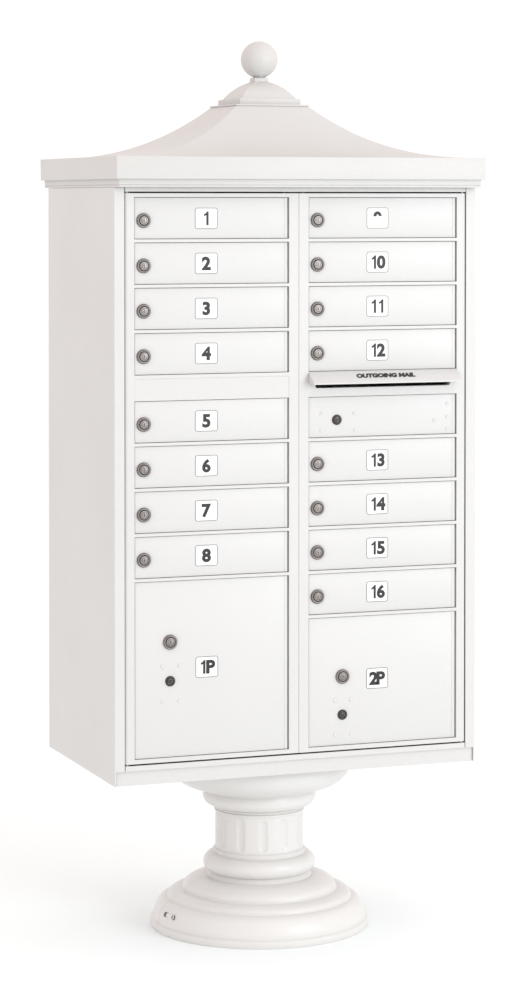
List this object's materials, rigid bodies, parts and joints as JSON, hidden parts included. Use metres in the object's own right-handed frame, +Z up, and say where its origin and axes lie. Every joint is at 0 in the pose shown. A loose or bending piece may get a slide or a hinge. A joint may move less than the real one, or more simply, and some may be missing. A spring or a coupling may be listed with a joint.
{
  "type": "cluster mailbox unit",
  "caption": "White free-standing mailbox cabinet on a round fluted pedestal, with locked hinged compartment doors, a hooded outgoing slot, loading frames and a swept roof with a ball finial.",
  "frame": {"origin": "centre of the base, on the ground", "axes": "+Z up, the doors face -Y, +X is to the right of someone facing the doors"},
  "size_m": [0.789, 0.5312, 1.8334],
  "materials": {
    "cabinet_white": "white powder coat with a fine orange-peel texture",
    "door_white": "white powder coat with a fine orange-peel texture",
    "roof_white": "white powder coat on drawn sheet",
    "pedestal_white": "off-white moulded cover, soft gloss",
    "rack_aluminium": "mill finish sheet",
    "lock_nickel": "dull nickel plate with a grimed keyway",
    "bar_steel": "zinc-plated bar",
    "post_steel": "painted steel weldment"
  },
  "bodies": {
    "cabinet": {"side_panel_left": "cabinet_white", "side_panel_right": "cabinet_white", "back_panel": "cabinet_white", "top_panel": "cabinet_white", "floor_panel": "cabinet_white", "compartment_rack_left": "rack_aluminium", "compartment_rack_right": "rack_aluminium", "roof_cap": "roof_white", "roof_cupola": "roof_white", "finial_ball": "roof_white", "pedestal_post": "post_steel", "pedestal_cover_front": "pedestal_white", "pedestal_cover_rear": "pedestal_white"},
    "frame_left": {"loading_frame_left": "cabinet_white", "door_hinge_rod_left": "bar_steel"},
    "frame_right": {"loading_frame_right": "cabinet_white", "door_hinge_rod_right": "bar_steel", "outgoing_mail_hood": "door_white"},
    "bar_left": {"latch_bar_left": "bar_steel"},
    "bar_right": {"latch_bar_right": "bar_steel"},
    "door_01": {"tenant_door_01": "door_white"},
    "door_02": {"tenant_door_02": "door_white"},
    "door_03": {"tenant_door_03": "door_white"},
    "door_04": {"tenant_door_04": "door_white"},
    "door_05": {"tenant_door_05": "door_white"},
    "door_06": {"tenant_door_06": "door_white"},
    "door_07": {"tenant_door_07": "door_white"},
    "door_08": {"tenant_door_08": "door_white"},
    "door_09": {"tenant_door_09": "door_white"},
    "door_10": {"tenant_door_10": "door_white"},
    "door_11": {"tenant_door_11": "door_white"},
    "door_12": {"tenant_door_12": "door_white"},
    "door_13": {"tenant_door_13": "door_white"},
    "door_14": {"tenant_door_14": "door_white"},
    "door_15": {"tenant_door_15": "door_white"},
    "door_16": {"tenant_door_16": "door_white"},
    "door_1p": {"parcel_door_1": "door_white"},
    "door_2p": {"parcel_door_2": "door_white"},
    "door_out": {"outgoing_mail_door": "door_white"},
    "lock_01": {"tenant_lock_01": "lock_nickel"},
    "lock_02": {"tenant_lock_02": "lock_nickel"},
    "lock_03": {"tenant_lock_03": "lock_nickel"},
    "lock_04": {"tenant_lock_04": "lock_nickel"},
    "lock_05": {"tenant_lock_05": "lock_nickel"},
    "lock_06": {"tenant_lock_06": "lock_nickel"},
    "lock_07": {"tenant_lock_07": "lock_nickel"},
    "lock_08": {"tenant_lock_08": "lock_nickel"},
    "lock_09": {"tenant_lock_09": "lock_nickel"},
    "lock_10": {"tenant_lock_10": "lock_nickel"},
    "lock_11": {"tenant_lock_11": "lock_nickel"},
    "lock_12": {"tenant_lock_12": "lock_nickel"},
    "lock_13": {"tenant_lock_13": "lock_nickel"},
    "lock_14": {"tenant_lock_14": "lock_nickel"},
    "lock_15": {"tenant_lock_15": "lock_nickel"},
    "lock_16": {"tenant_lock_16": "lock_nickel"},
    "lock_1p": {"parcel_lock_1": "lock_nickel"},
    "lock_1c": {"carrier_lock_1": "lock_nickel"},
    "lock_2p": {"parcel_lock_2": "lock_nickel"},
    "lock_2c": {"carrier_lock_2": "lock_nickel"},
    "lock_out": {"outgoing_mail_lock": "lock_nickel"}
  },
  "joints": [
    {"name": "frame_left_swing", "type": "hinge", "parent": "cabinet", "child": "frame_left", "pos_m": [-0.36, -0.2226, 0.95625], "axis": [0, 0, -1], "range_deg": [0, 92]},
    {"name": "frame_right_swing", "type": "hinge", "parent": "cabinet", "child": "frame_right", "pos_m": [0.36, -0.2226, 0.95625], "axis": [0, 0, 1], "range_deg": [0, 92]},
    {"name": "bar_left_lift", "type": "slide", "parent": "frame_left", "child": "bar_left", "axis": [0, 0, 1], "range_m": [0, 0.007]},
    {"name": "bar_right_lift", "type": "slide", "parent": "frame_right", "child": "bar_right", "axis": [0, 0, 1], "range_m": [0, 0.007]},
    {"name": "door_01_swing", "type": "hinge", "parent": "frame_left", "child": "door_01", "pos_m": [-0.0269, -0.2216, 1.46905], "axis": [0, 0, 1], "range_deg": [0, 95]},
    {"name": "door_02_swing", "type": "hinge", "parent": "frame_left", "child": "door_02", "pos_m": [-0.0269, -0.2216, 1.37995], "axis": [0, 0, 1], "range_deg": [0, 95]},
    {"name": "door_03_swing", "type": "hinge", "parent": "frame_left", "child": "door_03", "pos_m": [-0.0269, -0.2216, 1.29085], "axis": [0, 0, 1], "range_deg": [0, 95]},
    {"name": "door_04_swing", "type": "hinge", "parent": "frame_left", "child": "door_04", "pos_m": [-0.0269, -0.2216, 1.20175], "axis": [0, 0, 1], "range_deg": [0, 95]},
    {"name": "door_05_swing", "type": "hinge", "parent": "frame_left", "child": "door_05", "pos_m": [-0.0269, -0.2216, 1.0681], "axis": [0, 0, 1], "range_deg": [0, 95]},
    {"name": "door_06_swing", "type": "hinge", "parent": "frame_left", "child": "door_06", "pos_m": [-0.0269, -0.2216, 0.979], "axis": [0, 0, 1], "range_deg": [0, 95]},
    {"name": "door_07_swing", "type": "hinge", "parent": "frame_left", "child": "door_07", "pos_m": [-0.0269, -0.2216, 0.8899], "axis": [0, 0, 1], "range_deg": [0, 95]},
    {"name": "door_08_swing", "type": "hinge", "parent": "frame_left", "child": "door_08", "pos_m": [-0.0269, -0.2216, 0.8008], "axis": [0, 0, 1], "range_deg": [0, 95]},
    {"name": "door_09_swing", "type": "hinge", "parent": "frame_right", "child": "door_09", "pos_m": [0.3401, -0.2216, 1.46905], "axis": [0, 0, 1], "range_deg": [0, 95]},
    {"name": "door_10_swing", "type": "hinge", "parent": "frame_right", "child": "door_10", "pos_m": [0.3401, -0.2216, 1.37995], "axis": [0, 0, 1], "range_deg": [0, 95]},
    {"name": "door_11_swing", "type": "hinge", "parent": "frame_right", "child": "door_11", "pos_m": [0.3401, -0.2216, 1.29085], "axis": [0, 0, 1], "range_deg": [0, 95]},
    {"name": "door_12_swing", "type": "hinge", "parent": "frame_right", "child": "door_12", "pos_m": [0.3401, -0.2216, 1.20175], "axis": [0, 0, 1], "range_deg": [0, 95]},
    {"name": "door_13_swing", "type": "hinge", "parent": "frame_right", "child": "door_13", "pos_m": [0.3401, -0.2216, 0.979], "axis": [0, 0, 1], "range_deg": [0, 95]},
    {"name": "door_14_swing", "type": "hinge", "parent": "frame_right", "child": "door_14", "pos_m": [0.3401, -0.2216, 0.8899], "axis": [0, 0, 1], "range_deg": [0, 95]},
    {"name": "door_15_swing", "type": "hinge", "parent": "frame_right", "child": "door_15", "pos_m": [0.3401, -0.2216, 0.8008], "axis": [0, 0, 1], "range_deg": [0, 95]},
    {"name": "door_16_swing", "type": "hinge", "parent": "frame_right", "child": "door_16", "pos_m": [0.3401, -0.2216, 0.7117], "axis": [0, 0, 1], "range_deg": [0, 95]},
    {"name": "door_1p_swing", "type": "hinge", "parent": "frame_left", "child": "door_1p", "pos_m": [-0.0269, -0.2216, 0.57805], "axis": [0, 0, 1], "range_deg": [0, 95]},
    {"name": "door_2p_swing", "type": "hinge", "parent": "frame_right", "child": "door_2p", "pos_m": [0.3401, -0.2216, 0.5335], "axis": [0, 0, 1], "range_deg": [0, 95]},
    {"name": "door_out_swing", "type": "hinge", "parent": "frame_right", "child": "door_out", "pos_m": [0.3401, -0.2216, 1.0681], "axis": [0, 0, 1], "range_deg": [0, 95]},
    {"name": "lock_01_turn", "type": "hinge", "parent": "door_01", "child": "lock_01", "pos_m": [-0.3265, -0.2104, 1.4645], "axis": [0, 1, 0], "range_deg": [0, 90]},
    {"name": "lock_02_turn", "type": "hinge", "parent": "door_02", "child": "lock_02", "pos_m": [-0.3265, -0.2104, 1.3754], "axis": [0, 1, 0], "range_deg": [0, 90]},
    {"name": "lock_03_turn", "type": "hinge", "parent": "door_03", "child": "lock_03", "pos_m": [-0.3265, -0.2104, 1.2863], "axis": [0, 1, 0], "range_deg": [0, 90]},
    {"name": "lock_04_turn", "type": "hinge", "parent": "door_04", "child": "lock_04", "pos_m": [-0.3265, -0.2104, 1.1972], "axis": [0, 1, 0], "range_deg": [0, 90]},
    {"name": "lock_05_turn", "type": "hinge", "parent": "door_05", "child": "lock_05", "pos_m": [-0.3265, -0.2104, 1.06355], "axis": [0, 1, 0], "range_deg": [0, 90]},
    {"name": "lock_06_turn", "type": "hinge", "parent": "door_06", "child": "lock_06", "pos_m": [-0.3265, -0.2104, 0.97445], "axis": [0, 1, 0], "range_deg": [0, 90]},
    {"name": "lock_07_turn", "type": "hinge", "parent": "door_07", "child": "lock_07", "pos_m": [-0.3265, -0.2104, 0.88535], "axis": [0, 1, 0], "range_deg": [0, 90]},
    {"name": "lock_08_turn", "type": "hinge", "parent": "door_08", "child": "lock_08", "pos_m": [-0.3265, -0.2104, 0.79625], "axis": [0, 1, 0], "range_deg": [0, 90]},
    {"name": "lock_09_turn", "type": "hinge", "parent": "door_09", "child": "lock_09", "pos_m": [0.0405, -0.2104, 1.4645], "axis": [0, 1, 0], "range_deg": [0, 90]},
    {"name": "lock_10_turn", "type": "hinge", "parent": "door_10", "child": "lock_10", "pos_m": [0.0405, -0.2104, 1.3754], "axis": [0, 1, 0], "range_deg": [0, 90]},
    {"name": "lock_11_turn", "type": "hinge", "parent": "door_11", "child": "lock_11", "pos_m": [0.0405, -0.2104, 1.2863], "axis": [0, 1, 0], "range_deg": [0, 90]},
    {"name": "lock_12_turn", "type": "hinge", "parent": "door_12", "child": "lock_12", "pos_m": [0.0405, -0.2104, 1.1972], "axis": [0, 1, 0], "range_deg": [0, 90]},
    {"name": "lock_13_turn", "type": "hinge", "parent": "door_13", "child": "lock_13", "pos_m": [0.0405, -0.2104, 0.97445], "axis": [0, 1, 0], "range_deg": [0, 90]},
    {"name": "lock_14_turn", "type": "hinge", "parent": "door_14", "child": "lock_14", "pos_m": [0.0405, -0.2104, 0.88535], "axis": [0, 1, 0], "range_deg": [0, 90]},
    {"name": "lock_15_turn", "type": "hinge", "parent": "door_15", "child": "lock_15", "pos_m": [0.0405, -0.2104, 0.79625], "axis": [0, 1, 0], "range_deg": [0, 90]},
    {"name": "lock_16_turn", "type": "hinge", "parent": "door_16", "child": "lock_16", "pos_m": [0.0405, -0.2104, 0.70715], "axis": [0, 1, 0], "range_deg": [0, 90]},
    {"name": "lock_1p_turn", "type": "hinge", "parent": "door_1p", "child": "lock_1p", "pos_m": [-0.2721, -0.2104, 0.63175], "axis": [0, 1, 0], "range_deg": [0, 90]},
    {"name": "lock_1c_turn", "type": "hinge", "parent": "door_1p", "child": "lock_1c", "pos_m": [-0.2721, -0.2104, 0.55425], "axis": [0, 1, 0], "range_deg": [0, 90]},
    {"name": "lock_2p_turn", "type": "hinge", "parent": "door_2p", "child": "lock_2p", "pos_m": [0.0949, -0.2104, 0.54265], "axis": [0, 1, 0], "range_deg": [0, 90]},
    {"name": "lock_2c_turn", "type": "hinge", "parent": "door_2p", "child": "lock_2c", "pos_m": [0.0949, -0.2104, 0.46515], "axis": [0, 1, 0], "range_deg": [0, 90]},
    {"name": "lock_out_turn", "type": "hinge", "parent": "door_out", "child": "lock_out", "pos_m": [0.0824, -0.2104, 1.06225], "axis": [0, 1, 0], "range_deg": [0, 90]}
  ]
}
